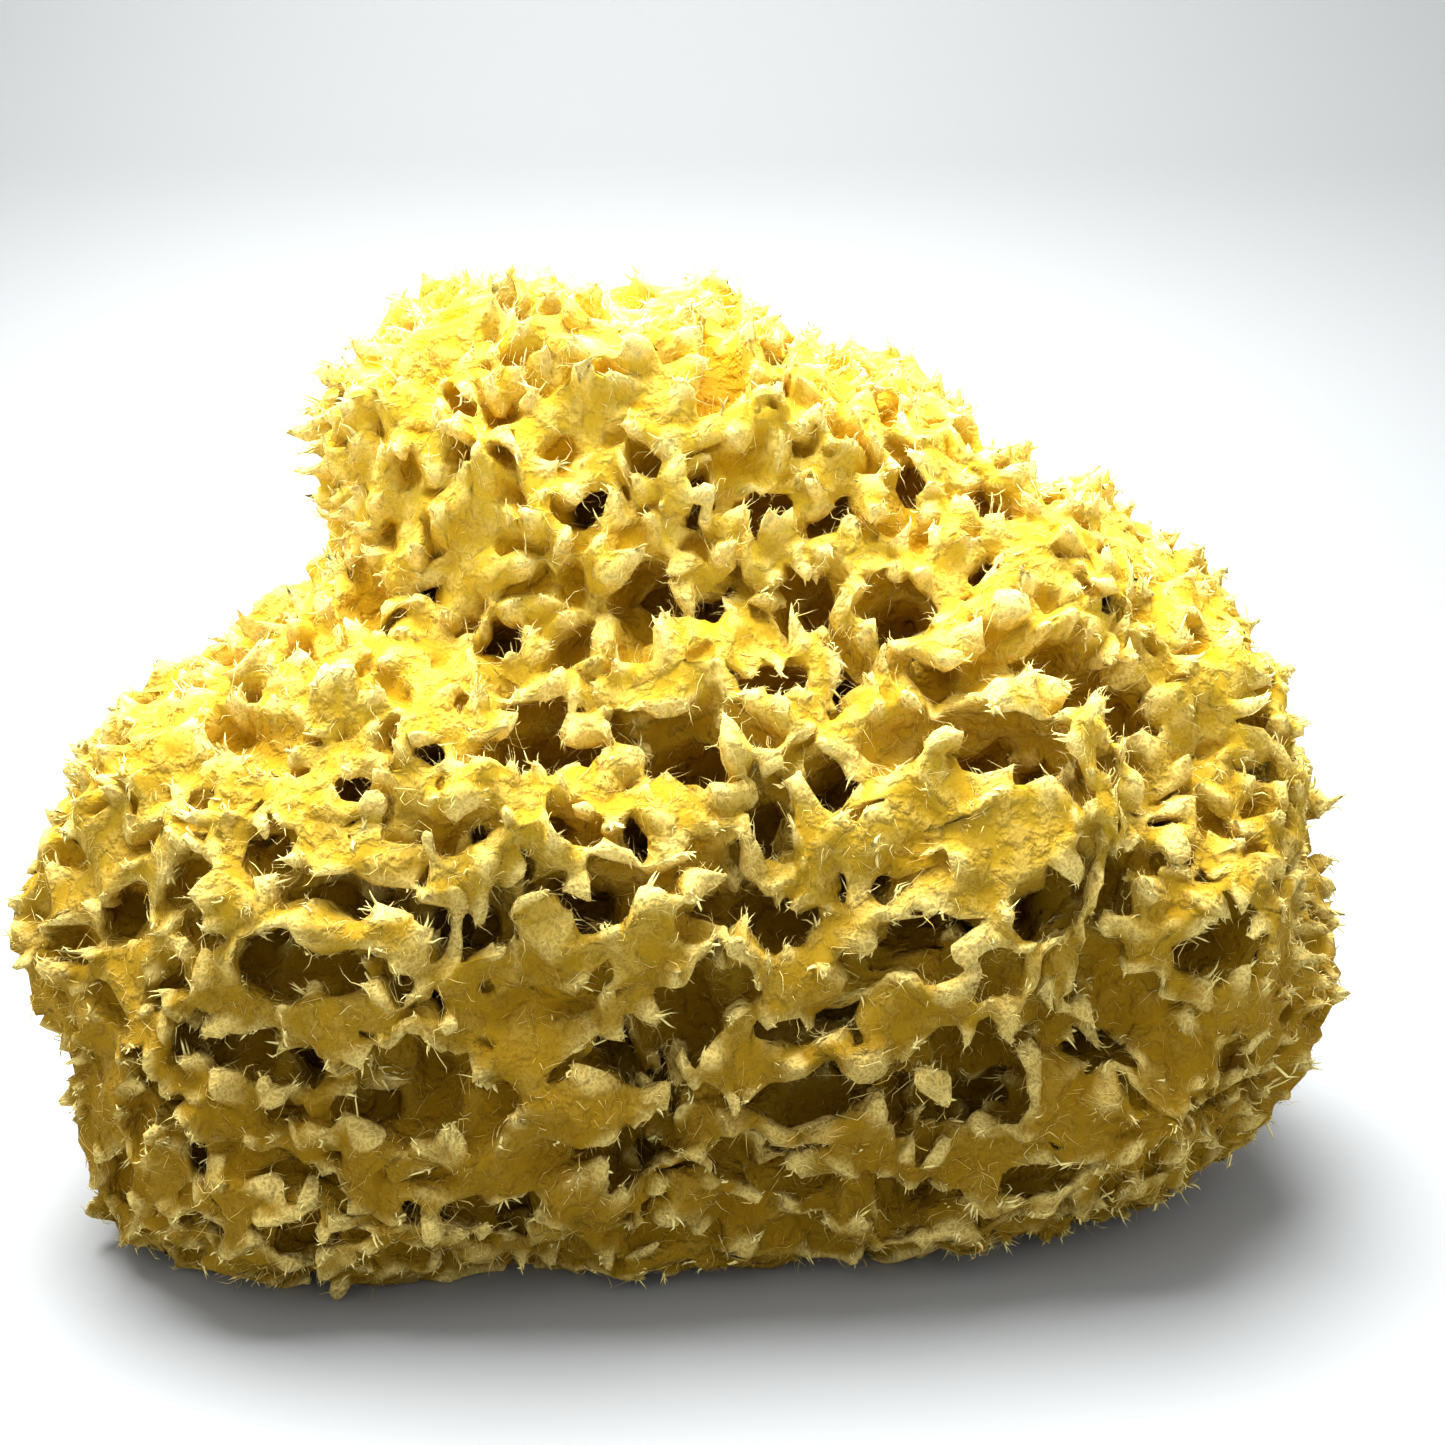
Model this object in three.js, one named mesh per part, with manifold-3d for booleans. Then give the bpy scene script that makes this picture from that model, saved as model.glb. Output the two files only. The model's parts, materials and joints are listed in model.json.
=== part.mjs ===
// A bath sponge: the dried skeleton of a honeycomb sea sponge, one piece as it grew.
// Millimetres, +Z up, front towards -Y. It rests on the flat cut where it was taken off its rock.
import * as THREE from 'three';
import { mergeVertices } from 'three/addons/utils/BufferGeometryUtils.js';
import Module from 'manifold-3d';

const wasm = await Module();
wasm.setup();

// ---- driving dimensions -------------------------------------------------------------------

// The body is a few rounded lobes grown together: centre, half sizes, and how full the lobe is
// (2 is an ellipsoid, larger values are closer to a box with rounded edges).
const LOBES = [
  { name: 'pillow', centre: [-1, 1, 30], half: [70, 47, 38], fullness: 2.6 },
  { name: 'left belly', centre: [-34, -8, 31], half: [38, 39, 33], fullness: 2.6 },
  { name: 'left foot', centre: [-44, -10, 15], half: [25, 34, 20], fullness: 2.2 },
  { name: 'head', centre: [-13, 6, 68], half: [32, 30, 33], fullness: 2.3 },
  { name: 'crown', centre: [-26, 8, 88], half: [16, 20, 12], fullness: 2.2 },
  { name: 'saddle', centre: [8, 8, 71], half: [26, 25, 23], fullness: 2.0 },
  { name: 'right shoulder', centre: [23, 6, 50], half: [40, 36, 32], fullness: 2.1 },
];
const LOBE_BLEND = 4.5;        // how widely neighbouring lobes melt into each other
const CORE = new THREE.Vector3(0, 0, 40);   // every point of the skin is in sight of this one
const REACH = 140;             // farther from the core than any skin
const SKIN_DETAIL = 9;         // subdivisions of the icosahedron that becomes the skin
const SWELL = 1.1;             // height of the low swellings all over the skin
const SWELL_LENGTH = 17;       // distance from one swelling to the next

// The canals' mouths on the front, row by row from the top: x, z, width, height, depth.
const FRONT_CANALS = [
  [-14, 82, 4, 5, 8], [-3, 82, 4, 5, 8], [5, 81, 7, 5, 9], [12, 80, 4, 5, 8], [20, 84, 5, 4, 8],
  [28, 80, 5, 5, 9], [-32, 72, 5, 4, 9], [-23, 69, 4, 4, 8], [-8, 71, 6, 7, 11], [-1, 71, 5, 8, 14],
  [9, 71, 5, 7, 11], [20, 70, 9, 6, 11], [29, 75, 4, 4, 9], [42, 70, 5, 5, 11], [23, 66, 4, 5, 9],
  [13, 64, 4, 5, 15], [5, 64, 9, 4, 9], [36, 63, 6, 8, 10], [43, 60, 9, 7, 10],
  [-17, 59, 15, 6, 14], [-3, 58, 9, 7, 14], [-30, 58, 4, 4, 10], [-37, 57, 4, 4, 9],
  [13, 56, 6, 4, 14], [27, 57, 11, 7, 12], [56, 53, 6, 4, 10], [-15, 54, 4, 4, 8],
  [-8, 51, 4, 4, 13], [5, 52, 5, 8, 14], [47, 50, 4, 4, 12], [-47, 50, 6, 5, 9],
  [-38, 46, 15, 4, 10], [-25, 43, 12, 4, 11], [-13, 45, 9, 4, 15], [-1, 44, 6, 5, 10],
  [7, 44, 12, 6, 12], [15, 47, 4, 4, 14], [32, 44, 6, 7, 14], [40, 45, 6, 7, 10],
  [19, 40, 6, 6, 16], [28, 41, 5, 5, 12], [49, 37, 6, 6, 12], [-52, 42, 8, 4, 9],
  [-41, 38, 15, 7, 9], [-28, 36, 5, 4, 12], [-4, 34, 7, 9, 9], [12, 34, 6, 4, 14],
  [-10, 30, 5, 7, 18], [-54, 31, 6, 4, 8], [-40, 29, 6, 4, 12], [-30, 27, 4, 9, 12],
  [-56, 24, 8, 4, 8], [26, 26, 10, 12, 12], [39, 26, 6, 6, 12], [8, 25, 12, 6, 12],
  [-3, 25, 5, 4, 12], [18, 22, 4, 4, 12], [-11, 20, 8, 7, 16], [-53, 17, 6, 4, 8],
  [-4, 17, 4, 4, 8], [22, 12, 7, 6, 15], [32, 14, 7, 5, 9], [8, 14, 8, 4, 8], [-22, 9, 5, 4, 8],
];

// The other sides carry rows of canals: how many rows and how many in each, the first and last
// row's place, the half length of a row, and the sizes of the mouths.
const OTHER_SIDES = [
  { out: [0, 1, 0], along: [1, 0, 0], rows: 6, inRow: 6, from: 13, to: 84, halfRow: 50 },
  { out: [-1, 0, 0], along: [0, 1, 0], rows: 4, inRow: 4, from: 14, to: 56, halfRow: 24 },
  { out: [1, 0, 0], along: [0, 1, 0], rows: 4, inRow: 4, from: 14, to: 62, halfRow: 26 },
];
const TOP_CANALS = [
  [-34, 6], [-22, -6], [-22, 12], [-10, 2], [-8, 22], [4, 10], [10, -6], [22, 4], [20, 20],
  [34, 12], [36, -6], [-50, 10], [-48, -10], [50, 10],
];
const SIDE_MOUTH = { least: 4, most: 9, shallow: 8, deep: 16 };
const ROUND_MOUTH = 9;         // mouths at least this wide get the finer pit
const STRAIGHT_IN = 0.45;      // how far a front canal turns from square to the skin to level

// ---- the living outline -------------------------------------------------------------------

/** Less than 0 inside a lobe, more outside, about in millimetres near its skin. */
function lobeField(point, { centre, half, fullness }) {
  const sum = ['x', 'y', 'z'].reduce((total, axis, i) => {
    const share = Math.abs((point[axis] - centre[i]) / half[i]);
    return total + share ** fullness;
  }, 0);
  const meanHalf = (half[0] + half[1] + half[2]) / 3;
  return (sum ** (1 / fullness) - 1) * meanHalf;
}

/** The lobes melted together by a soft minimum, with low swellings over them. */
function bodyField(point) {
  const fields = LOBES.map((lobe) => lobeField(point, lobe));
  const nearest = Math.min(...fields);
  const sum = fields.reduce((total, f) => total + Math.exp((nearest - f) / LOBE_BLEND), 0);
  const turn = (2 * Math.PI) / SWELL_LENGTH;
  const swelling = Math.sin(point.x * turn) * Math.sin(point.y * turn + 1)
    + Math.sin(point.y * turn * 1.3 + 2) * Math.sin(point.z * turn * 1.1)
    + Math.sin(point.z * turn * 0.9 + 4) * Math.sin(point.x * turn * 1.2 + 3);
  return nearest - LOBE_BLEND * Math.log(sum) - (SWELL * swelling) / 2;
}

/** The point between an inside and an outside point where the field is 0, by halving. */
function skinBetween(inside, outside) {
  const low = inside.clone();
  const high = outside.clone();
  for (let step = 0; step < 30; step += 1) {
    const middle = low.clone().lerp(high, 0.5);
    if (bodyField(middle) < 0) low.copy(middle);
    else high.copy(middle);
  }
  return low;
}

/** The outward direction of the skin at a point, from small differences of the field. */
function outward(point) {
  const step = 0.5;
  const slope = ['x', 'y', 'z'].map((axis) => {
    const ahead = point.clone();
    const behind = point.clone();
    ahead[axis] += step;
    behind[axis] -= step;
    return bodyField(ahead) - bodyField(behind);
  });
  return new THREE.Vector3(...slope).normalize();
}

// ---- closed solids ------------------------------------------------------------------------

/** A three.js geometry as a closed solid that can be cut. */
function solidOf(geometry) {
  geometry.deleteAttribute('normal');
  geometry.deleteAttribute('uv');
  const merged = mergeVertices(geometry, 1e-4);
  return new wasm.Manifold(new wasm.Mesh({
    numProp: 3,
    vertProperties: new Float32Array(merged.attributes.position.array),
    triVerts: new Uint32Array(merged.index.array),
  }));
}

/** The skin: an icosahedron's vertices slid out from the core until they meet the outline. */
function skinSolid() {
  const geometry = new THREE.IcosahedronGeometry(1, SKIN_DETAIL);
  const place = geometry.attributes.position;
  for (let i = 0; i < place.count; i += 1) {
    const ray = new THREE.Vector3().fromBufferAttribute(place, i).normalize();
    const far = CORE.clone().addScaledVector(ray, REACH);
    const skin = skinBetween(CORE, far);
    place.setXYZ(i, skin.x, skin.y, skin.z);
  }
  return solidOf(geometry);
}

/** One canal's mouth: a long pit centred on the skin, half of it sunk into the body. */
function pit(mouth, inwards, width, height, depth) {
  const detail = width >= ROUND_MOUTH ? 1 : 0;
  const geometry = new THREE.IcosahedronGeometry(1, detail);
  const side = new THREE.Vector3().crossVectors(inwards, new THREE.Vector3(0, 0, 1));
  if (side.length() < 0.2) side.set(1, 0, 0);
  side.normalize();
  const up = new THREE.Vector3().crossVectors(side, inwards).normalize();
  const forward = new THREE.Vector3().crossVectors(up, side);
  const frame = new THREE.Matrix4().makeBasis(side, forward, up);
  frame.scale(new THREE.Vector3(width / 2, depth, height / 2));
  frame.setPosition(mouth);
  geometry.applyMatrix4(frame);
  return solidOf(geometry);
}

/** The skin point that is met when coming from outside towards a point deep in the body. */
function mouthFrom(out, target) {
  const outside = target.clone().addScaledVector(out, REACH);
  return skinBetween(target, outside);
}

/** A steady value between 0 and 1 for each whole number, so the model never changes. */
function steady(number) {
  const value = Math.sin(number * 12.9898 + 4.1) * 43758.5453;
  return value - Math.floor(value);
}

function frontPits() {
  const out = new THREE.Vector3(0, -1, 0);
  return FRONT_CANALS.map(([x, z, width, height, depth]) => {
    const mouth = mouthFrom(out, new THREE.Vector3(x, 0, z));
    const inwards = outward(mouth).negate().lerp(new THREE.Vector3(0, 1, 0), STRAIGHT_IN);
    return pit(mouth, inwards.normalize(), width, height, depth);
  });
}

function sidePits() {
  const pits = [];
  const { least, most, shallow, deep } = SIDE_MOUTH;
  OTHER_SIDES.forEach((side, which) => {
    for (let row = 0; row < side.rows; row += 1) {
      for (let n = 0; n < side.inRow; n += 1) {
        const key = which * 1000 + row * 50 + n * 3;
        const spread = (2 * side.halfRow) / side.inRow;
        const shift = (row % 2) * 0.5 + (steady(key) - 0.5) * 0.6;
        const sideways = -side.halfRow + spread * (n + 0.25 + shift);
        const rise = (side.to - side.from) / (side.rows - 1);
        const z = side.from + rise * (row + (steady(key + 1) - 0.5) * 0.5);
        const target = new THREE.Vector3(...side.along).multiplyScalar(sideways).setZ(z);
        if (bodyField(target) < -6) {
          const mouth = mouthFrom(new THREE.Vector3(...side.out), target);
          const width = least + (most - least) * steady(key + 2);
          const height = least + (most - least) * steady(key + 7) * 0.7;
          const depth = shallow + (deep - shallow) * steady(key + 11);
          pits.push(pit(mouth, outward(mouth).negate(), width, height, depth));
        }
      }
    }
  });
  return pits;
}

function topPits() {
  return TOP_CANALS.map(([x, y], n) => {
    const target = new THREE.Vector3(x, y, CORE.z - 5);
    const mouth = mouthFrom(new THREE.Vector3(0, 0, 1), target);
    const width = 4 + 4 * steady(n + 90);
    return pit(mouth, outward(mouth).negate(), width, width * 0.85, 8 + 5 * steady(n + 70));
  });
}

/** The block under the body: taking it away leaves the flat cut that the sponge rests on. */
function rockSolid() {
  const block = new THREE.BoxGeometry(2 * REACH, 2 * REACH, REACH);
  block.translate(0, 0, -REACH / 2);
  return solidOf(block);
}

// ---- the sponge ---------------------------------------------------------------------------

function spongeBody() {
  const canals = [...frontPits(), ...sidePits(), ...topPits()];
  const allCanals = canals.reduce((joined, canal) => joined.add(canal));
  const cut = skinSolid().subtract(allCanals).subtract(rockSolid()).getMesh();
  const geometry = new THREE.BufferGeometry();
  geometry.setAttribute('position', new THREE.BufferAttribute(cut.vertProperties, 3));
  geometry.setIndex(new THREE.BufferAttribute(cut.triVerts, 1));
  geometry.computeBoundingBox();
  const middle = geometry.boundingBox.getCenter(new THREE.Vector3());
  geometry.translate(-middle.x, -middle.y, -geometry.boundingBox.min.z);
  geometry.computeVertexNormals();
  const fleece = new THREE.MeshStandardMaterial({
    color: 0xd9b962, roughness: 0.95, metalness: 0, flatShading: true,
  });
  const body = new THREE.Mesh(geometry, fleece);
  body.name = 'sponge_body';
  return body;
}

const sponge = new THREE.Group();
sponge.name = 'sea_sponge';
sponge.add(spongeBody());

export default sponge;
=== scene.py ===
# %% [markdown]
# # A honeycomb bath sponge
# The real thing is the dried skeleton of one animal: springy golden fibre, felted into walls,
# with canals running all through it and a fringe of soft points on every ridge. The frame gives
# its body at its real size. Here that body is turned into a block of small cells, hollowed and
# fringed cell by cell, and skinned again. Thousands of loose fibres then grow on the skin.

import json
import math

import bpy
import numpy as np
import openvdb as vdb
from mathutils.kdtree import KDTree
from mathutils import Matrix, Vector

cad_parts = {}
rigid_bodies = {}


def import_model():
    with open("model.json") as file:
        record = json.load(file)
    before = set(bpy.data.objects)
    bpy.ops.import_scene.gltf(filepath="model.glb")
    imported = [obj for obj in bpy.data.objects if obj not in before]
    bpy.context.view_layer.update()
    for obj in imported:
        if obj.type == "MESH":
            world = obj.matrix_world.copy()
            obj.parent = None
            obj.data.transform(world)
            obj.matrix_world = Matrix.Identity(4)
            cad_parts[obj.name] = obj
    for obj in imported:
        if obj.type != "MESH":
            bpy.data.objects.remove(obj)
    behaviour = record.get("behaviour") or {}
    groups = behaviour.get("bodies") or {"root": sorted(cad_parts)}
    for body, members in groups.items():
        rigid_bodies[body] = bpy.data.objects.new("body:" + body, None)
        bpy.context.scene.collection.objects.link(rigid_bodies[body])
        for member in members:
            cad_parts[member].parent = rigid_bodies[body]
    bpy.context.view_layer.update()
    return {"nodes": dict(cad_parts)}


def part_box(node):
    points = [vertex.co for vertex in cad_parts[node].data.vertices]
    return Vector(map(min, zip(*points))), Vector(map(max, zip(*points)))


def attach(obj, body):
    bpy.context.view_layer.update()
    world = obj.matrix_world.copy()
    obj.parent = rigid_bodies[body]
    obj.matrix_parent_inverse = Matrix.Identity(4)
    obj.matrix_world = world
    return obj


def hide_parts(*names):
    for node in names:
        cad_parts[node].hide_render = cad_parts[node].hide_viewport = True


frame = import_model()
NODE = "sponge_body"
MM = 0.001
low_corner, high_corner = (np.array(corner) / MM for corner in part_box(NODE))
print("body in mm, lowest and highest corner:", low_corner.round(1), high_corner.round(1))

# %% [markdown]
# ## The camera
# It stands a little above the sponge and looks down at its front from a short distance, so the
# near face looms and the top is seen at a slant. It is made first because nothing else needs it.

# %% Camera
CAMERA_DISTANCE = 260.0
CAMERA_RISE = math.radians(14.0)
LENS_MM = 54.86
SENSOR_MM = 36.0
TARGET = np.array([2.9, 0.66, 52.6])
camera_way = np.array([0, -math.cos(CAMERA_RISE), math.sin(CAMERA_RISE)])
camera_place = TARGET + CAMERA_DISTANCE * camera_way
camera = bpy.data.objects.new("camera", bpy.data.cameras.new("camera"))
camera.data.lens = LENS_MM
camera.data.sensor_width = SENSOR_MM
camera.location = camera_place * MM
camera.rotation_euler = (math.pi / 2 - CAMERA_RISE, 0, 0)
camera.data.clip_start = 0.01
bpy.context.scene.collection.objects.link(camera)
bpy.context.scene.camera = camera
print("camera in mm:", camera_place.round(1))

# %% [markdown]
# ## A block of cells
# Carving with smooth cuts is easy in a block of small cells that each hold the distance to the
# skin, less than 0 inside. Then a cut is the larger of two numbers and a join the smaller.
# The block is filled from the frame's own mesh, so every canal of the body is in it already.

# %% The body as distances
CELL = 0.55  # mm
BAND = 7  # cells on each side of the skin that hold a true distance
ROOM = 8.0  # mm of air kept round the body for the points


def mesh_arrays(mesh):
    """The corners of a mesh in mm and the corner numbers of its triangles."""
    mesh.calc_loop_triangles()
    points = np.empty(len(mesh.vertices) * 3, np.float32)
    mesh.vertices.foreach_get("co", points)
    corners = np.empty(len(mesh.loop_triangles) * 3, np.int32)
    mesh.loop_triangles.foreach_get("vertices", corners)
    return points.reshape(-1, 3) / MM, corners.reshape(-1, 3)


points, triangles = mesh_arrays(frame["nodes"][NODE].data)
grid_frame = vdb.createLinearTransform(voxelSize=CELL)
level_set = vdb.FloatGrid.createLevelSetFromPolygons(
    points.astype(np.float32), triangles=triangles.astype(np.uint32),
    transform=grid_frame, halfWidth=BAND)
first_cell = np.floor((low_corner - ROOM) / CELL).astype(int)
last_cell = np.ceil((high_corner + ROOM) / CELL).astype(int)
field = np.empty(tuple(last_cell - first_cell + 1), np.float32)
level_set.copyToArray(field, ijk=tuple(int(n) for n in first_cell))
print("cells:", field.shape, "inside:", round(float((field < 0).sum() * CELL ** 3 / 1000)), "ml")


# %% Blur and sampling
def box_blur(block, reach):
    """Each cell becomes the mean of the cells within reach along X, then Y, then Z, taken from
    running sums: mean = (sum up to i + reach - sum up to i - reach - 1) / (2 reach + 1)."""
    for axis in range(3):
        widths = [(0, 0)] * 3
        widths[axis] = (reach + 1, reach)
        sums = np.cumsum(np.pad(block, widths, mode="edge"), axis=axis, dtype=np.float32)
        ahead = [slice(None)] * 3
        behind = [slice(None)] * 3
        ahead[axis] = slice(2 * reach + 1, None)
        behind[axis] = slice(0, -2 * reach - 1)
        block = (sums[tuple(ahead)] - sums[tuple(behind)]) / (2 * reach + 1)
    return block


def crowding(block, reach_mm):
    """The share of solid cells near each cell: 0 out in the air, half on a flat skin, near 1
    down a narrow canal, and small on the point of a spike."""
    reach = max(1, round(reach_mm / CELL))
    solid = np.clip(0.5 - block / CELL, 0, 1)
    return box_blur(box_blur(solid, reach), reach)


def at_points(block, places):
    """The block's values at places in mm, mixed from the eight cells round each place."""
    spot = np.clip(places / CELL - first_cell, 0, np.array(block.shape) - 1.001)
    corner = spot.astype(int)
    part = spot - corner
    value = np.zeros(len(places), np.float32)
    for step in np.ndindex(2, 2, 2):
        share = np.prod(np.where(step, part, 1 - part), axis=1)
        value += share * block[tuple((corner + step).T)]
    return value


def slope_at(block, places):
    """The direction in which the block's values grow fastest, from differences over 2 cells."""
    steps = np.eye(3) * 2 * CELL
    slope = np.stack([at_points(block, places + step) - at_points(block, places - step)
                      for step in steps], 1)
    return slope / np.maximum(np.linalg.norm(slope, axis=1, keepdims=True), 1e-6)


def smooth_step(value, low, high):
    """0 below low, 1 above high, smooth between: 3 s^2 - 2 s^3."""
    s = np.clip((value - low) / (high - low), 0, 1)
    return s * s * (3 - 2 * s)


SOFTENINGS = 3
ENVELOPE_REACH = 4.5  # mm
WALLS_DRAWN_BACK = 1.3  # mm

for _ in range(SOFTENINGS):
    field = box_blur(field, 1)
# The envelope is the body without its narrow canals, 0.5 on the skin and more inside. From the
# skin inwards the walls are drawn back, so a canal widens behind its mouth and its rim overhangs.
envelope = crowding(field, ENVELOPE_REACH)
field += (WALLS_DRAWN_BACK * smooth_step(envelope, 0.50, 0.72)).astype(np.float32)
print("cells on the skin:", int((np.abs(field) < CELL / 2).sum()))

# %% [markdown]
# ## Chambers and pits
# A sponge pumps water through round chambers that open into one another, so cutting the body
# with many stretched balls gives the same look: rounded hollows, and between them the leftover
# ridges, which are thin, curved inwards on both sides and sharp where three hollows meet.

# %% Carving tools
rng = np.random.default_rng(20)


def local_block(centre, reach):
    """The part of the block within reach of a place in mm, and that part's cell places."""
    lowest = np.maximum(np.floor((centre - reach) / CELL).astype(int) - first_cell, 0)
    highest = np.minimum(np.ceil((centre + reach) / CELL).astype(int) - first_cell + 1, field.shape)
    part = tuple(slice(a, b) for a, b in zip(lowest, highest))
    axes = [(np.arange(a, b) + f) * CELL - c
            for a, b, f, c in zip(lowest, highest, first_cell, centre)]
    return part, np.meshgrid(*axes, indexing="ij", sparse=True)


def carve_ball(centre, radius, stretch_way, stretch):
    """Takes a stretched ball away: field = max(field, radius - |p|), where p's part along the
    stretch way is first divided by the stretch."""
    part, (x, y, z) = local_block(centre, radius * stretch + 1.0)
    along = x * stretch_way[0] + y * stretch_way[1] + z * stretch_way[2]
    shorter = 1 / stretch ** 2 - 1
    distance = np.sqrt(np.maximum(x * x + y * y + z * z + shorter * along * along, 0))
    field[part] = np.maximum(field[part], (radius - distance).astype(np.float32))


def jittered(spacing, seed):
    """A lattice of places through the whole block, each moved at random inside its own box."""
    source = np.random.default_rng(seed)
    counts = np.ceil((high_corner - low_corner + 2 * spacing) / spacing).astype(int)
    lattice = np.stack(np.meshgrid(*(np.arange(n) for n in counts), indexing="ij"), -1)
    lattice = lattice.reshape(-1, 3) + source.random((counts.prod(), 3))
    return low_corner - spacing + lattice * spacing


def random_ways(count, flatness, source):
    """Unit vectors: random, with the upright part made smaller by flatness."""
    ways = source.normal(size=(count, 3)) * [1, 1, flatness]
    return ways / np.linalg.norm(ways, axis=1, keepdims=True)


# %% Places on the skin
def spread_out(places, rank, spacing):
    """Keeps places at least a spacing apart, those of lowest rank first: each box of space
    keeps its first place, then a place is dropped if a lower one is nearer than the spacing."""
    order = np.argsort(rank, kind="stable")
    boxes = np.floor(places[order] / (spacing * 0.7)).astype(int)
    _, first = np.unique(boxes, axis=0, return_index=True)
    places = places[order[np.sort(first)]]
    tree = KDTree(len(places))
    for number, place in enumerate(places):
        tree.insert(place, number)
    tree.balance()
    taken = np.zeros(len(places), bool)
    for number, place in enumerate(places):
        taken[number] = not any(taken[other] for _, other, _ in tree.find_range(place, spacing))
    return places[taken]


def skin_cells(block, level):
    """The places in mm of the cells just inside where the block passes a level."""
    inside = block > level
    rim = inside & ~(np.roll(inside, 1, 0) & np.roll(inside, -1, 0) & np.roll(inside, 1, 1)
                     & np.roll(inside, -1, 1) & np.roll(inside, 1, 2) & np.roll(inside, -1, 2))
    return (np.argwhere(rim) + first_cell) * CELL


# %% Chambers under the skin
FRONT_ENDS = -5.0  # mm along Y
HEAD_STARTS = 62.0  # mm up


def carve_chambers(spacing, seed, crowd, least, most, stretch, flatness, keep):
    """Carves balls at jittered places where the crowding is between two values. The share kept
    falls from the first to the second towards the back and the top."""
    places = jittered(spacing, seed)
    here = at_points(envelope, places)
    source = np.random.default_rng(seed + 1)
    behind = np.maximum(places[:, 1] - FRONT_ENDS, places[:, 2] - HEAD_STARTS) / 12
    likely = keep[0] + (keep[1] - keep[0]) * np.clip(behind, 0, 1)
    chosen = (here > crowd[0]) & (here < crowd[1]) & (source.random(len(places)) < likely)
    places = places[chosen]
    ways = random_ways(len(places), flatness, source)
    radii = least + (most - least) * source.random(len(places)) ** 1.5
    longer = 1 + (stretch - 1) * source.random(len(places))
    for place, way, radius, long in zip(places, ways, radii, longer):
        carve_ball(place, radius, way, long)
    return len(places)


made = carve_chambers(spacing=8.0, seed=1, crowd=(0.50, 0.97), least=1.9, most=3.4,
                      stretch=2.1, flatness=0.45, keep=(0.4, 0.0))
print("chambers:", made)


# %% Hollows all over the skin
def wild_share(places, out):
    """0 on the front face below the head, where the sponge is matted flat, 1 on its top, back
    and sides, where it stands up in tufts."""
    facing = np.clip(-out[:, 1] * 1.6 - 0.2, 0, 1)
    low = np.clip((76 - places[:, 2]) / 16, 0, 1)
    right = np.clip((places[:, 0] - 30) / 20, 0, 1)
    return 1 - facing * low * (1 - 0.5 * right)


SHOULDER_TURN = math.radians(40)


def grain_of(places, out):
    """The way in which the canals run under the front skin: level, but down the slope on the
    right shoulder. It is the level tangent turned towards the downhill tangent."""
    level = np.cross(out, [0, 0, 1.0])
    level /= np.maximum(np.linalg.norm(level, axis=1, keepdims=True), 1e-6)
    downhill = np.cross(level, out)
    turn = SHOULDER_TURN * smooth_step(places[:, :1], 15, 50)
    return level * np.cos(turn) + downhill * np.sin(turn)


def carve_hollows(spacing, seed, least, most, stand_off, longer, keep_front, keep_wild):
    """Carves a ball at the kept share of a spread over the skin, stretched along the grain on
    the front and in any way along the skin elsewhere. Its middle is moved out by up to the
    stand-off, or in by a third of it on the front."""
    source = np.random.default_rng(seed)
    skin = skin_cells(envelope, 0.5)
    places = spread_out(skin, source.random(len(skin)), spacing)
    out = -slope_at(envelope, places)
    wild = wild_share(places, out)
    kept = source.random(len(places)) < keep_front + (keep_wild - keep_front) * wild
    places, out, wild = places[kept], out[kept], wild[kept, None]
    ways = grain_of(places, out) + (0.3 + 0.9 * wild) * source.normal(size=places.shape)
    ways -= out * (ways * out).sum(1, keepdims=True) * 0.8 * wild
    ways /= np.linalg.norm(ways, axis=1, keepdims=True)
    radii = least + (most - least) * source.random(len(places)) ** 1.3
    shift = stand_off * (1.3 * source.random(len(places)) - 0.3 + 0.5 * wild[:, 0])
    longer = 1 + (longer - 1) * source.random(len(places))
    for place, o, way, radius, s, long in zip(places, out, ways, radii, shift, longer):
        carve_ball(place + o * s, radius, way, long)
    return len(places)


made = carve_hollows(spacing=7.2, seed=3, least=2.3, most=3.7, stand_off=1.3, longer=2.6,
                     keep_front=0.85, keep_wild=0.25)
print("hollows:", made)
made = carve_hollows(spacing=4.3, seed=4, least=1.4, most=2.3, stand_off=0.7, longer=1.9,
                     keep_front=0.40, keep_wild=0.97)
print("smaller hollows:", made)
made = carve_hollows(spacing=3.0, seed=5, least=0.8, most=1.4, stand_off=0.6, longer=1.5,
                     keep_front=0.35, keep_wild=0.45)
print("pits:", made)

# %% [markdown]
# ## The great canals of the front
# Some thirty canals open wide on the front, where several chambers have broken into one. Most
# are wider than tall, because the animal grew in level shelves. Each is cut as a ball stretched
# along its width, sunk a little below the skin so that its rim overhangs.

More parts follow.
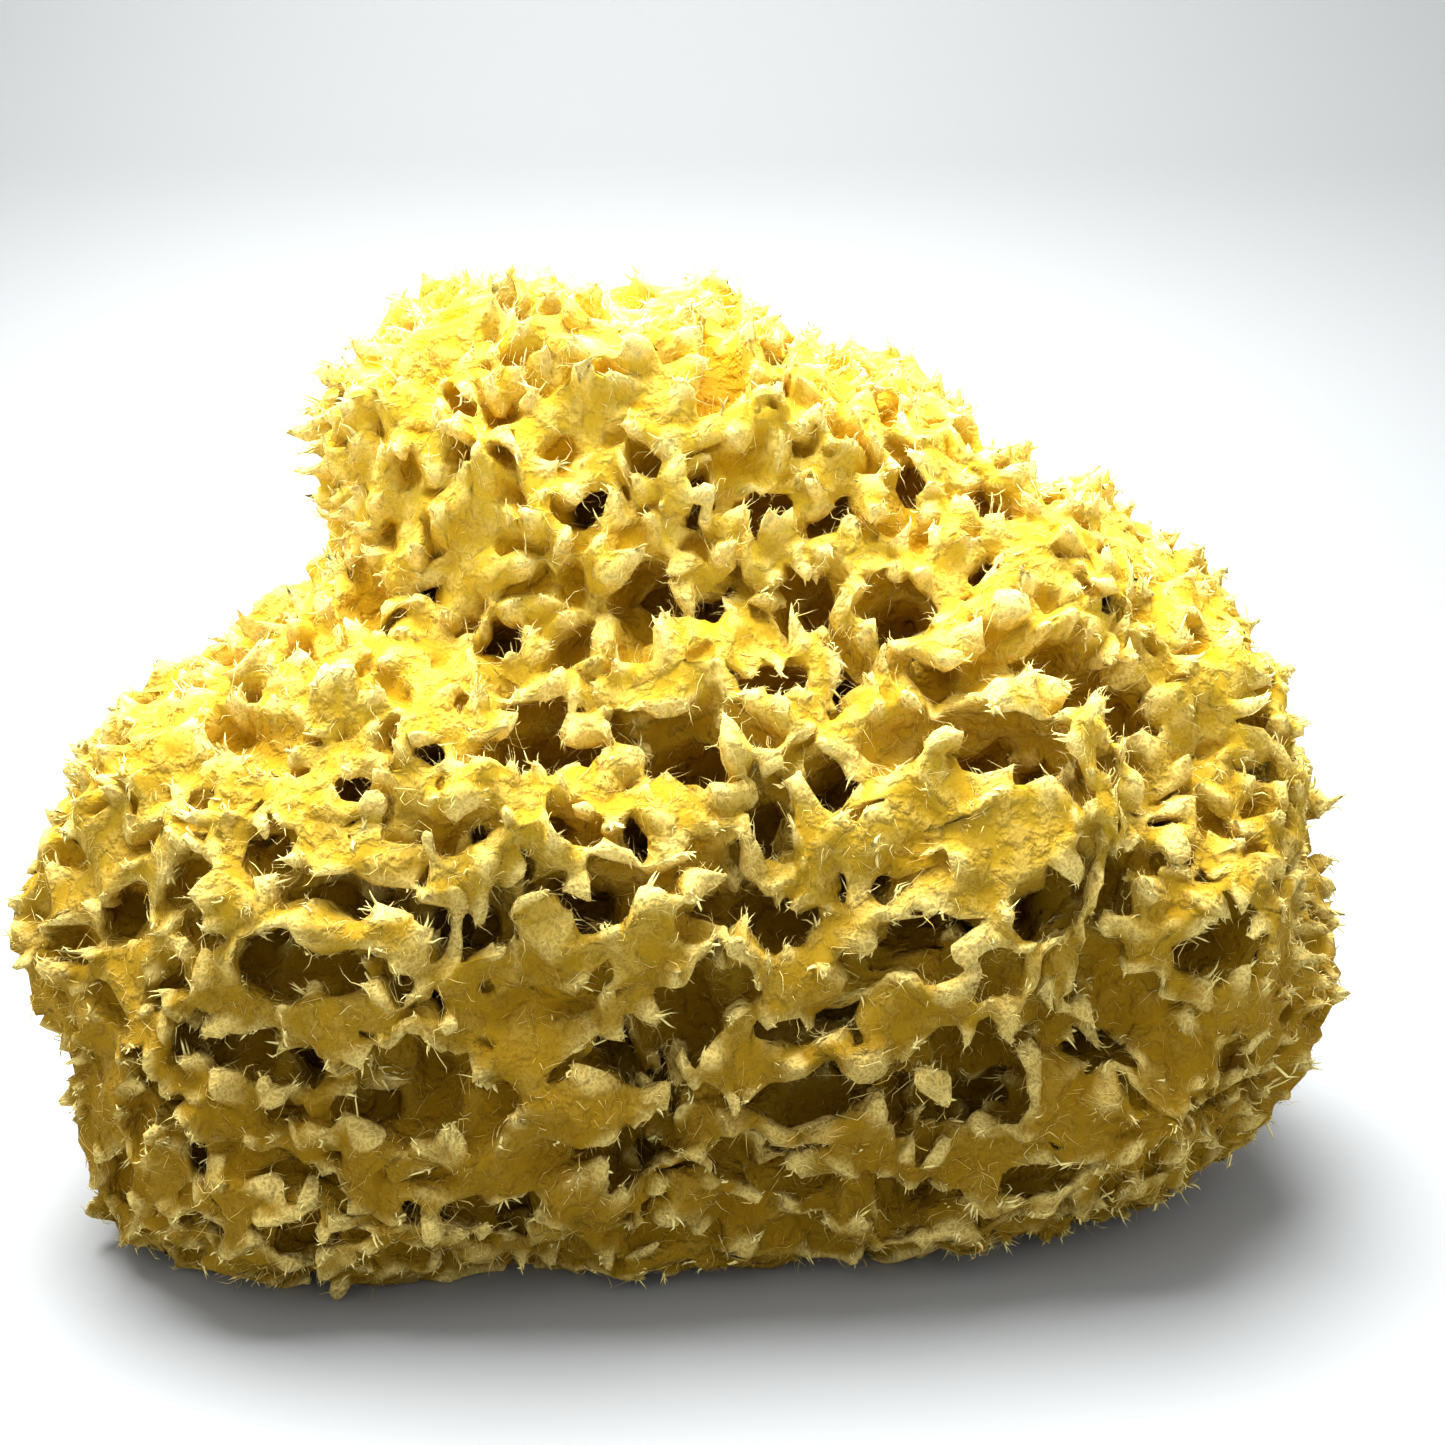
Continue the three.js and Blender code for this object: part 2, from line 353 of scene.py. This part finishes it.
# %% Great canals
GREAT_CANALS = [
    # across, up, width, height, tilt in degrees
    (23, 70, 9, 7, 10), (46, 60, 10, 7, -30), (39, 63, 6, 8, 0), (-14, 59, 14, 7, -5),
    (0, 58, 9, 7, 0), (30, 57, 12, 7, -10), (8, 52, 6, 8, 20), (-35, 46, 15, 5, -15),
    (-22, 43, 12, 5, -10), (-10, 45, 9, 4, -8), (10, 44, 13, 6, 5), (35, 44, 6, 7, 0),
    (43, 45, 7, 7, -30), (22, 40, 7, 7, 0), (-49, 42, 9, 5, -10), (-38, 38, 14, 6, -12),
    (-1, 34, 8, 9, 0), (-7, 29, 6, 8, 60), (29, 26, 12, 11, -20), (11, 25, 13, 7, 5),
    (-27, 27, 5, 9, 0), (-8, 20, 9, 8, 20), (-53, 24, 10, 5, 0), (-44, 30, 9, 5, -5),
    (25, 12, 8, 6, 0), (35, 14, 8, 5, 10), (11, 14, 9, 4, 5), (52, 37, 7, 7, -40),
    (-37, 16, 10, 4, -5), (-20, 12, 9, 4, 0), (12, 71, 6, 7, 0), (-5, 71, 6, 7, 0),
]


CANAL_SUNK = 1.5  # mm behind the skin
CANAL_RADIUS = 0.68  # of the height, because the ball is sunk and its mouth is smaller


def front_of(across, up):
    """The place on the front skin straight ahead of a point: the first solid cell of the
    envelope on a line that runs in from the front."""
    column = np.round(np.array([across, up]) / CELL).astype(int) - first_cell[[0, 2]]
    column = np.clip(column, 0, None)
    inward = envelope[column[0], :, column[1]]
    return (int(np.argmax(inward > 0.5)) + first_cell[1]) * CELL


for across, up, width, height, tilt in GREAT_CANALS:
    along = np.array([math.cos(math.radians(tilt)), 0, math.sin(math.radians(tilt))])
    middle = np.array([across, front_of(across, up) + CANAL_SUNK, up])
    carve_ball(middle, CANAL_RADIUS * height, along, max(1.0, width / height))
print("great canals:", len(GREAT_CANALS))

# %% [markdown]
# ## The fringe of points
# Where ridges meet, the skin is pulled out into a soft point by the fibre inside, like cloth
# over a tent pole. The corners are found by crowding: a corner has less solid round it than any
# other place near it. Each gets a bent cone, melted into the ridge so its flanks curve inwards.

# %% Corners of the ridges
CORNER_REACH = 1.1  # mm
CORNER_CROWDING = 0.40  # a flat skin has 0.5
FRONT_SPACING = 2.4  # mm between the points
WILD_SPACING = 2.8

fine_crowding = crowding(field, CORNER_REACH)
skin = np.argwhere((field < 0) & (field > -CELL * 1.1))
rank = fine_crowding[tuple(skin.T)]
skin = (skin[rank < CORNER_CROWDING] + first_cell) * CELL
rank = rank[rank < CORNER_CROWDING]
at_front = wild_share(skin, -slope_at(envelope, skin)) < 0.5
corners = np.concatenate([spread_out(skin[at_front], rank[at_front], FRONT_SPACING),
                          spread_out(skin[~at_front], rank[~at_front], WILD_SPACING)])
corners = corners[corners[:, 2] > 2.0]
outwards = -slope_at(fine_crowding, corners)
print("ridge corners:", len(corners))


# %% Points on the corners
SPIKE_TIP = 0.24  # mm, about half a cell
SPIKE_MELT = 0.9  # mm
ROOT_DEPTH = 0.8  # mm down in the ridge
SIDE_ROOT_DEPTH = 0.5


def add_spike(root, way, length, width):
    """Joins a cone to the field: the distance to its axis less a radius that falls from its
    foot to its blunt tip, tip + width * (1 - share along it) ^ 1.3, melted in with a smooth
    minimum, field (1 - mix) + cone mix - melt mix (1 - mix)."""
    part, (x, y, z) = local_block(root + way * length / 2, length / 2 + width + 1.5)
    x, y, z = (c + w * length / 2 for c, w in zip((x, y, z), way))
    along = np.clip(x * way[0] + y * way[1] + z * way[2], -width, length)
    away = np.sqrt((x - along * way[0]) ** 2 + (y - along * way[1]) ** 2
                   + (z - along * way[2]) ** 2)
    cone = away - (SPIKE_TIP + width * np.clip(1 - along / length, 0, 1) ** 1.3)
    here = field[part]
    mix = np.clip(0.5 + 0.5 * (here - cone) / SPIKE_MELT, 0, 1)
    joined = here * (1 - mix) + cone * mix - SPIKE_MELT * mix * (1 - mix)
    field[part] = joined.astype(np.float32)


wildness = wild_share(corners, outwards)
lengths = (0.5 + 1.3 * rng.random(len(corners)) ** 1.5) * (1 + 1.5 * wildness)
lengths *= 0.4 + 0.6 * smooth_step(corners[:, 2], 5, 45)
widths = 0.5 + 0.35 * rng.random(len(corners)) + 0.5 * wildness
ways = outwards * (0.45 + 0.55 * wildness[:, None]) + 0.4 * rng.normal(size=corners.shape)
ways[:, 2] += 0.3 * wildness * np.clip(corners[:, 2] / 60, 0, 1)
ways /= np.linalg.norm(ways, axis=1, keepdims=True)
side_ways = ways[:, None] + 0.55 * rng.normal(size=(len(corners), 2, 3))
side_ways /= np.linalg.norm(side_ways, axis=2, keepdims=True)
torn = wildness > 0.45
for corner, way, pair, length, width, split in zip(corners, ways, side_ways, lengths, widths,
                                                   torn):
    add_spike(corner - way * ROOT_DEPTH, way, length + ROOT_DEPTH, width)
    for side_way in pair[:2 * split]:
        add_spike(corner - way * SIDE_ROOT_DEPTH, side_way, 0.7 * length + SIDE_ROOT_DEPTH,
                  0.7 * width)
print("points:", len(corners), "of which torn in three:", int(torn.sum()))

# The flat cut: nothing reaches below it.
level = ((np.arange(field.shape[2]) + first_cell[2]) * CELL).astype(np.float32)
field = np.maximum(field, -level[None, None, :])
crowd_fine = crowding(field, 1.2)
crowd_wide = crowding(field, 4.0)

# %% [markdown]
# ## Back to a skin
# The cells are skinned where the distance is 0. Bubbles that no water could reach are left out:
# only the largest connected sheet is kept. It is then thinned to fewer triangles, which takes
# them from smooth canal walls first and leaves them on the points.

# %% Skin
MOST_TRIANGLES = 196000


def skin_of(block):
    """Corners in mm and four-sided faces of the surface where the block is 0."""
    grid = vdb.FloatGrid(float(block.max()))
    grid.transform = grid_frame
    grid.copyFromArray(block, ijk=tuple(int(n) for n in first_cell))
    corners, _, quads = grid.convertToPolygons(isovalue=0.0, adaptivity=0.0)
    return corners, quads.astype(np.int64)


def largest_sheet(count, faces):
    """Marks the corners of the largest connected sheet: every corner takes the lowest number
    among its neighbours, again and again, until nothing changes."""
    label = np.arange(count)
    ends = np.concatenate([faces[:, [n, (n + 1) % 4]] for n in range(4)])
    changed = True
    while changed:
        before = label.copy()
        lowest = np.minimum(label[ends[:, 0]], label[ends[:, 1]])
        np.minimum.at(label, ends[:, 0], lowest)
        np.minimum.at(label, ends[:, 1], lowest)
        label = label[label]
        changed = bool((label != before).any())
    return label == np.bincount(label).argmax()


skin_points, skin_faces = skin_of(field)
keep = largest_sheet(len(skin_points), skin_faces)
skin_faces = skin_faces[keep[skin_faces[:, 0]]]
new_number = np.cumsum(keep) - 1
skin_points = skin_points[keep]
skin_faces = new_number[skin_faces]
print("skin:", len(skin_points), "corners and", 2 * len(skin_faces), "triangles")


def waves(places, length, count, seed):
    """A smooth random push for each place: the sum of sine waves that run in random ways,
    each way pushing in another, all about one length apart from crest to crest."""
    source = np.random.default_rng(seed)
    push = np.zeros_like(places)
    for _ in range(count):
        way = random_ways(1, 1.0, source)[0]
        turn = 2 * math.pi / (length * (0.7 + 0.6 * source.random()))
        phase = 2 * math.pi * source.random()
        push += np.sin(places @ way * turn + phase)[:, None] * source.normal(size=3)
    return push / math.sqrt(count)


WAVES = ((26.0, 1.6, 30), (7.0, 0.8, 31), (2.4, 0.18, 32))  # length and push in mm, seed


def bend_all(places):
    """Moves places by three sizes of wave, which fade out down to the flat cut."""
    above_cut = np.clip(places[:, 2:3] / 4, 0, 1)
    for length, reach, seed in WAVES:
        places = places + above_cut * reach * waves(places, length, 12, seed)
    return places


def mesh_from(name, points_mm, faces):
    """A smooth-shaded mesh from corner places in mm and faces of one size."""
    sides = faces.shape[1]
    mesh = bpy.data.meshes.new(name)
    mesh.vertices.add(len(points_mm))
    mesh.vertices.foreach_set("co", (points_mm * MM).astype(np.float32).ravel())
    mesh.loops.add(faces.size)
    mesh.loops.foreach_set("vertex_index", faces.astype(np.int32).ravel())
    mesh.polygons.add(len(faces))
    mesh.polygons.foreach_set("loop_start", np.arange(0, faces.size, sides, dtype=np.int32))
    mesh.update(calc_edges=True)
    mesh.shade_smooth()
    return mesh


def signed_volume(points_mm, faces):
    """The volume inside a closed surface, more than 0 when its faces point outwards."""
    a, b, c, d = (points_mm[faces[:, n]] for n in range(4))
    fan = (a * np.cross(b, c)).sum(1) + (a * np.cross(c, d)).sum(1)
    return float(fan.sum() / 6)


if signed_volume(skin_points, skin_faces) < 0:
    skin_faces = skin_faces[:, ::-1]
dense = bpy.data.objects.new("dense_skin", mesh_from("dense_skin", skin_points, skin_faces))
bpy.context.scene.collection.objects.link(dense)
thinning = dense.modifiers.new("thinning", "DECIMATE")
thinning.ratio = min(1.0, MOST_TRIANGLES / (2 * len(skin_faces)))
dense_finished = dense.evaluated_get(bpy.context.evaluated_depsgraph_get())
thinned = bpy.data.meshes.new_from_object(dense_finished)
bpy.data.objects.remove(dense)
thinned.name = "sponge_skin"
sponge = bpy.data.objects.new("sponge_skin", thinned)
bpy.context.scene.collection.objects.link(sponge)
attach(sponge, "root")
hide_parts(NODE)
skin_place, skin_triangles = mesh_arrays(thinned)
print("body:", len(skin_triangles), "triangles")


def store(mesh, name, values):
    """Keeps one number per corner with the mesh, where a material can read it by name."""
    attribute = mesh.attributes.new(name, "FLOAT", "POINT")
    attribute.data.foreach_set("value", values.astype(np.float32))


store(thinned, "fine", at_points(crowd_fine, skin_place))
store(thinned, "wide", at_points(crowd_wide, skin_place))
bent_place = bend_all(skin_place.astype(float))
thinned.vertices.foreach_set("co", (bent_place * MM).astype(np.float32).ravel())
thinned.update()


# %% [markdown]
# ## What the finishes are written with
# A material is a net of nodes, each a small sum or pattern, and wiring them one by one hides
# what they say. Here a wrapped socket can be used in a sum, so that 1 - mask adds its own node,
# and any other node comes from one method, which sets its settings before its inputs.

# %% Materials, one helper class
class Socket:
    """A shader socket that can be used in sums: each operator adds one Math node."""

    def __init__(self, material, socket):
        self.material = material
        self.socket = socket

    def _math(self, operation, *values):
        return self.material.node("ShaderNodeMath", {"operation": operation},
                                  dict(enumerate(values)))

    def __add__(self, other):
        return self._math("ADD", self, other)

    def __sub__(self, other):
        return self._math("SUBTRACT", self, other)

    def __mul__(self, other):
        return self._math("MULTIPLY", self, other)

    def __radd__(self, other):
        return self._math("ADD", other, self)

    def __rsub__(self, other):
        return self._math("SUBTRACT", other, self)

    def __rmul__(self, other):
        return self._math("MULTIPLY", other, self)

    def between(self, low, high):
        """0 below low, 1 above high, and a smooth step between them."""
        return self.material.node("ShaderNodeMapRange", {"interpolation_type": "SMOOTHSTEP"},
                                  {"Value": self, "From Min": low, "From Max": high})


class Material:
    """A new material with one Principled shader, and one method that adds any other node."""

    def __init__(self, name, **constants):
        self.data = bpy.data.materials.new(name)
        self.data.use_nodes = True
        self.tree = self.data.node_tree
        self.shader = self.tree.nodes["Principled BSDF"]
        for socket_name, value in constants.items():
            self.shader.inputs[socket_name.replace("_", " ")].default_value = value

    def node(self, kind, settings=None, inputs=None, output=0):
        """Adds a node: its settings first, then its inputs, and gives one of its outputs."""
        made = self.tree.nodes.new(kind)
        for name, value in (settings or {}).items():
            setattr(made, name, value)
        for name, value in (inputs or {}).items():
            self.feed(made.inputs[name], value)
        return Socket(self, made.outputs[output])

    def feed(self, socket, value):
        """Links a wrapped socket, or sets a plain value."""
        if isinstance(value, Socket):
            self.tree.links.new(value.socket, socket)
        else:
            socket.default_value = value

    def surface(self, name, value):
        """Feeds one input of the shader that is the surface."""
        self.feed(self.shader.inputs[name], value)

    def attribute(self, name):
        """A number stored with the mesh's corners."""
        return self.node("ShaderNodeAttribute", {"attribute_name": name}, output="Fac")

    def mix(self, share, first, second):
        """A colour: first * (1 - share) + second * share."""
        return self.node("ShaderNodeMix", {"data_type": "RGBA"},
                         {0: share, 6: first, 7: second}, output=2)


def rgb(red, green, blue):
    """A colour for a socket, from linear light values."""
    return (red, green, blue, 1.0)


# %% [markdown]
# ## The felt
# Dry spongin is matt and golden. Its torn edges bleach to cream and its canals keep an amber
# brown, painted darker still down the deep canals as painted shade. Towards the base the felt is
# painted brownest: mostly painted shade of the lower half, which the lamp above leaves in shadow,
# and in part a browner base. The felt is a web of threads finer than any triangle here, so the
# web is painted, as the walls between small cells, with cloudy wisps in the colour and as a
# slight bump; the spaces between the threads are painted shade. Every ridge, pit and point that
# has a shape is in the mesh. The two crowdings stored with it say where a place is: low on a
# point, high down a canal.

# %% Felt of the body
def felt_material():
    """Cream rims, golden skin and amber canals, painted darker down the deep canals as painted
    shade, with wisps, fine nets of painted shade between the threads and painted shade towards
    the base.
    """
    felt = Material("spongin_felt", Roughness=0.95, Specular_IOR_Level=0.1)
    fine = felt.attribute("fine")
    wide = felt.attribute("wide")
    place = felt.node("ShaderNodeTexCoord", output="Object")

    def noise(scale, detail, output=0):
        """Cloudy noise, scale clouds to the metre."""
        return felt.node("ShaderNodeTexNoise", {},
                         {"Vector": place, "Scale": scale, "Detail": detail}, output=output)

    def moved(amount, scale):
        """The place, pushed about by coloured noise: noise * amount + place."""
        return felt.node("ShaderNodeVectorMath", {"operation": "MULTIPLY_ADD"},
                         {0: noise(scale, 2.0, "Color"), 1: (amount,) * 3, 2: place},
                         output="Vector")

    def net(vector, scale):
        """Threads: 1 on the walls between cells, scale cells to the metre, and 0 inside."""
        cells = felt.node("ShaderNodeTexVoronoi", {"feature": "DISTANCE_TO_EDGE"},
                          {"Vector": vector, "Scale": scale})
        return 1 - cells.between(0.0, 0.24)

    wander = moved(0.0022, 600.0)
    strands = net(wander, 1500.0)
    # Darker in pits and canals: partly the fibre's own amber, partly painted shade.
    recess_tint_and_shade = fine.between(0.36, 0.68) * 0.65 + wide.between(0.44, 0.70) * 0.5
    # Painted shade: the deepest canals are painted dark brown.
    painted_deep_shade = wide.between(0.52, 0.84)
    rim = 1 - fine.between(0.22, 0.42)
    wisps = noise(420.0, 3.0).between(0.40, 0.66)
    pale = felt.mix(wisps, rgb(0.68, 0.47, 0.035), rgb(0.88, 0.66, 0.13))
    amber = felt.mix(painted_deep_shade, rgb(0.54, 0.30, 0.004), rgb(0.26, 0.115, 0.001))
    colour = felt.mix(recess_tint_and_shade, pale, amber)
    height = felt.node("ShaderNodeSeparateXYZ", {}, {"Vector": place}, output="Z")
    # Darker towards the base: mostly painted shade of the lower half, in part a browner base.
    low = 1 - height.between(0.020, 0.085)
    # Painted shade in the spaces between the threads, stronger towards the base.
    painted_gap_shade = (1 - strands) * (0.2 + 0.4 * low)
    colour = felt.mix(painted_gap_shade, colour, rgb(0.42, 0.23, 0.004))
    colour = felt.mix(low * 0.88, colour, rgb(0.22, 0.115, 0.002))
    # The cream of the torn rims is cut back towards the base as painted shade.
    frayed = rim * (0.5 + 0.5 * strands) * (1 - 0.4 * low)
    colour = felt.mix(frayed, colour, rgb(0.97, 0.79, 0.27))
    felt.surface("Base Color", colour)
    felt.surface("Normal", felt.node("ShaderNodeBump", {}, {"Height": wisps,
                                                            "Strength": 0.8,
                                                            "Distance": 0.0006}))
    return felt.data


thinned.materials.clear()
thinned.materials.append(felt_material())

# %% [markdown]
# ## Loose fibre
# Spongin is fibre through and through: the ridges are felted, their edges are frayed, and the
# canal walls have a short nap. Hair systems are dropped when a model is exported, so every
# strand is a thin tube with three sides that tapers to a point, and all strands of one kind
# are one mesh. A strand's texture map holds how far along it a point is and its own shade.

# %% Strands as one mesh
LEAST_BEND = 0.05  # radians, so that nothing is divided by 0
MAP_BAND = 0.004  # so that no triangle's place on the map has no width


def strand_mesh(name, roots, ways, sides, lengths, widths, bends, shades, rings):
    """Tubes along arcs: an arc leaves its root along its way and turns towards its side by its
    bend in all, so after a share t of it the place is root + length * (sin(bend t) * way
    + (1 - cos(bend t)) * side) / bend. Three points a third of a turn apart lie round each
    step, at a radius that shrinks to a third; one point closes the tip, one triangle the root."""
    count = len(roots)
    t = np.linspace(0, 1, rings + 1)
    bends = np.where(np.abs(bends) < LEAST_BEND, LEAST_BEND, bends)[:, None]
    reach = lengths[:, None] / bends
    turned = bends * t
    axis = (roots[:, None] + (reach * np.sin(turned))[..., None] * ways[:, None]
            + (reach * (1 - np.cos(turned)))[..., None] * sides[:, None])
    across = np.cross(ways, sides)[:, None, None]
    inner = (np.cos(turned)[..., None] * sides[:, None] - np.sin(turned)[..., None] * ways[:, None])
    corner = 2 * math.pi * np.arange(3)[:, None] / 3
    ring = across * np.cos(corner) + inner[:, :-1, None] * np.sin(corner)
    radius = (widths[:, None] / 2) * (1 - 0.67 * t[None, :-1])
    tube = axis[:, :-1, None] + ring * radius[..., None, None]
    points = np.concatenate([tube.reshape(count, -1, 3), axis[:, -1:]], axis=1)
    faces = [[0, 2, 1]]
    for level in range(rings - 1):
        for n in range(3):
            a = level * 3 + n
            b = level * 3 + (n + 1) % 3
            faces += [[a, b, b + 3], [a, b + 3, a + 3]]
    last = (rings - 1) * 3
    faces += [[last + n, last + (n + 1) % 3, rings * 3] for n in range(3)]
    faces = np.array(faces)
    per_strand = rings * 3 + 1
    all_faces = (faces[None] + np.arange(count)[:, None, None] * per_strand).reshape(-1, 3)
    mesh = mesh_from(name, bend_all(points.reshape(-1, 3)), all_faces)
    along = np.append(np.repeat(t[:-1], 3), 1.0)[faces].ravel()
    band = np.tile(MAP_BAND * (faces % 3).ravel(), count)
    uv = np.stack([np.tile(along, count), np.repeat(0.98 * shades, faces.size) + band], 1)
    mesh.uv_layers.new(name="OFBake").data.foreach_set("uv", uv.astype(np.float32).ravel())
    strands = bpy.data.objects.new(name, mesh)
    bpy.context.scene.collection.objects.link(strands)
    mesh.materials.append(fibre_finish)
    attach(strands, "root")
    print(name, "strands:", count, "triangles:", len(all_faces))


def square_to(ways, sides):
    """The sides made square to the ways, and both one unit long."""
    ways = ways / np.linalg.norm(ways, axis=1, keepdims=True)
    sides = sides - ways * (sides * ways).sum(1, keepdims=True)
    return ways, sides / np.maximum(np.linalg.norm(sides, axis=1, keepdims=True), 1e-6)


def fibre_material():
    """Pale at the tip; the shade across the map runs from amber to cream."""
    fibre = Material("spongin_fibre", Roughness=0.85, Specular_IOR_Level=0.2)
    chart = fibre.node("ShaderNodeUVMap", {"uv_map": "OFBake"})
    along = fibre.node("ShaderNodeSeparateXYZ", {}, {"Vector": chart}, output="X")
    shade = fibre.node("ShaderNodeSeparateXYZ", {}, {"Vector": chart}, output="Y")
    colour = fibre.mix(shade, rgb(0.60, 0.35, 0.008), rgb(0.94, 0.80, 0.28))
    colour = fibre.mix(along * 0.3, colour, rgb(0.98, 0.88, 0.42))
    fibre.surface("Base Color", colour)
    return fibre.data


fibre_finish = fibre_material()


# %% Where strands grow
def triangle_facts():
    """Each triangle's middle, outward direction and area in mm."""
    a, b, c = (skin_place[skin_triangles[:, n]] for n in range(3))
    cross = np.cross(b - a, c - a)
    size = np.linalg.norm(cross, axis=1)
    return (a + b + c) / 3, cross / np.maximum(size, 1e-9)[:, None], size / 2


middles, normals, areas = triangle_facts()
fine_here = at_points(crowd_fine, middles.astype(float))
wide_here = at_points(crowd_wide, middles.astype(float))
print("skin area:", round(float(areas.sum())), "mm2")


def grow(name, count, seed, liking, length, width, stand, bend, shade, rings):
    """Strands rooted at random over the skin, more where the liking is high. Their way is
    along the skin plus stand times straight out, and they turn back to it or sideways."""
    source = np.random.default_rng(seed)
    weight = np.cumsum(areas * liking)
    chosen = np.searchsorted(weight, source.random(count) * weight[-1])
    corner = skin_place[skin_triangles[chosen]]
    share = source.random((count, 2))
    share = np.where(share.sum(1, keepdims=True) > 1, 1 - share, share)
    roots = (corner[:, 0] + (corner[:, 1] - corner[:, 0]) * share[:, :1]
             + (corner[:, 2] - corner[:, 0]) * share[:, 1:])
    out = normals[chosen]
    along = source.normal(size=(count, 3))
    along, _ = square_to(np.cross(out, along), out)
    ways = along + out * (stand * (0.3 + 1.4 * source.random(count)))[:, None]
    ways, sides = square_to(ways, source.normal(size=(count, 3)) - 0.8 * out)
    lengths = length * (0.5 + source.random(count))
    widths = width * (0.7 + 0.6 * source.random(count))
    bends = bend * (0.4 + source.random(count))
    shades = np.clip(shade(chosen) + 0.18 * source.normal(size=count), 0, 1)
    roots = roots - out * width
    ok = (roots + ways * lengths[:, None])[:, 2] > 0.5
    strand_mesh(name, roots[ok], ways[ok], sides[ok], lengths[ok], widths[ok], bends[ok],
                shades[ok], rings)


def tuft(name, places, outs, each, seed, length, width, spread, bend, shade, rings):
    """A few strands from every place, fanned round its outward way by the spread."""
    source = np.random.default_rng(seed)
    count = len(places) * each
    outs = np.repeat(outs, each, axis=0)
    ways = outs + spread * source.normal(size=(count, 3))
    ways, sides = square_to(ways, source.normal(size=(count, 3)))
    lengths = length * (0.5 + 0.8 * source.random(count))
    widths = width * (0.6 + 0.8 * source.random(count))
    bends = bend * source.normal(size=count)
    shades = np.clip(shade + 0.08 * source.normal(size=count), 0, 1)
    roots = np.repeat(places, each, axis=0) + 0.25 * source.normal(size=(count, 3)) - 0.5 * outs
    ok = (roots + ways * lengths[:, None])[:, 2] > 0.5
    strand_mesh(name, roots[ok], ways[ok], sides[ok], lengths[ok], widths[ok], bends[ok],
                shades[ok], rings)


def shade_here(chosen):
    """Cream on open ridges; amber down the canals, partly the fibre's own colour and partly
    painted shade; and darker towards the base, which is painted shade of the lower half.
    """
    return (0.92 - 0.75 * smooth_step(fine_here[chosen], 0.35, 0.75)
            - 0.15 * smooth_step(wide_here[chosen], 0.5, 0.8)
            - 0.45 * (1 - smooth_step(middles[chosen, 2], 15, 85)))


ridges = 1 - smooth_step(fine_here, 0.38, 0.62)
open_skin = 1 - smooth_step(wide_here, 0.60, 0.80)
grow("ridge_felt", 13200, 51, ridges + 0.02, 2.6, 0.10, 0.2, 2.6, shade_here, 3)
grow("open_felt", 21000, 52, open_skin + 0.08, 2.0, 0.07, 0.5, 1.6, shade_here, 2)
grow("short_nap", 52000, 55, open_skin + 0.15, 0.9, 0.05, 0.8, 0.0, shade_here, 1)
wild = wildness > 0.6
tip_ends = corners + ways * (lengths * 0.55)[:, None]
tuft("frayed_tips", tip_ends[~wild], ways[~wild], 5, 53, 1.3, 0.30, 0.45, 1.8, 1.0, 3)
tuft("brush_tufts", tip_ends[wild], ways[wild], 5, 54, 2.0, 0.30, 0.35, 1.0, 1.0, 3)

# %% [markdown]
# ## The floor, the backdrop and the light
# A pale sheet curves up behind the sponge. A wide lamp above and a little behind lights the head
# and the tops of the ledges and leaves the front to the soft light of the room, so the canals
# go dark towards the base. A faint lamp in front on the left keeps the front's ridges clear.

# %% Stage
SHEET_REACH = 900.0  # mm to the front, to each side and up
SHEET_TURNS = 330.0  # mm behind the middle
SHEET_BEND = 120.0


def backdrop():
    """A sheet: flat, then a quarter circle up, then a wall, carried along X. Round the bend
    y = turns + bend sin(turn) and z = bend (1 - cos(turn))."""
    turn = np.linspace(0, math.pi / 2, 24)
    y = np.concatenate([[-SHEET_REACH], SHEET_TURNS + SHEET_BEND * np.sin(turn),
                        [SHEET_TURNS + SHEET_BEND]])
    z = np.concatenate([[0.0], SHEET_BEND * (1 - np.cos(turn)), [SHEET_REACH]])
    x = np.array([-SHEET_REACH, SHEET_REACH])
    grid = np.stack([np.repeat(x, len(y)), np.tile(y, 2), np.tile(z, 2)], 1)
    k = np.arange(len(y) - 1)
    faces = np.stack([k, k + len(y), k + len(y) + 1, k + 1], 1)
    sheet = bpy.data.objects.new("backdrop", mesh_from("backdrop", grid, faces))
    bpy.context.scene.collection.objects.link(sheet)
    paper = Material("paper", Roughness=0.6)
    place = paper.node("ShaderNodeTexCoord", output="Object")
    grain = paper.node("ShaderNodeTexNoise", {}, {"Vector": place, "Scale": 3.0})
    height = paper.node("ShaderNodeSeparateXYZ", {}, {"Vector": place}, output="Z")
    # Painted shade: the wall is painted darker than the floor, though both are one sheet.
    upright = height.between(0.0, 0.35)
    near = paper.mix(grain, rgb(0.300, 0.311, 0.314), rgb(0.322, 0.334, 0.338))
    paper.surface("Base Color", paper.mix(upright, near, rgb(0.168, 0.172, 0.171)))
    sheet.data.materials.append(paper.data)
    print("backdrop:", len(faces), "strips")


def area_light(name, place, towards, size, power):
    """A round lamp of a size in mm at a place, turned so that its -Z, the way it shines, runs
    to the second place: tipped by the angle from straight down, then swung round Z."""
    light = bpy.data.objects.new(name, bpy.data.lights.new(name, "AREA"))
    light.data.shape = "DISK"
    light.data.size = size * MM
    light.data.energy = power
    light.location = np.array(place) * MM
    way = np.array(towards, float) - place
    flat = math.hypot(way[0], way[1])
    swing = math.atan2(way[1], way[0]) - math.pi / 2
    light.rotation_euler = (math.atan2(flat, -way[2]), 0, swing)
    bpy.context.scene.collection.objects.link(light)


backdrop()
area_light("overhead", (-50.0, 120.0, 430.0), (0, 0, 50), 520, 11.5)
area_light("front_fill", (-200.0, -330.0, 460.0), (0, 0, 50), 400, 0.2)
world = bpy.data.worlds.new("room")
world.use_nodes = True
room = world.node_tree.nodes["Background"]
room.inputs["Color"].default_value = rgb(0.96, 0.97, 1.0)
room.inputs["Strength"].default_value = 0.95
bpy.context.scene.world = world
bpy.context.scene.view_settings.view_transform = "Standard"
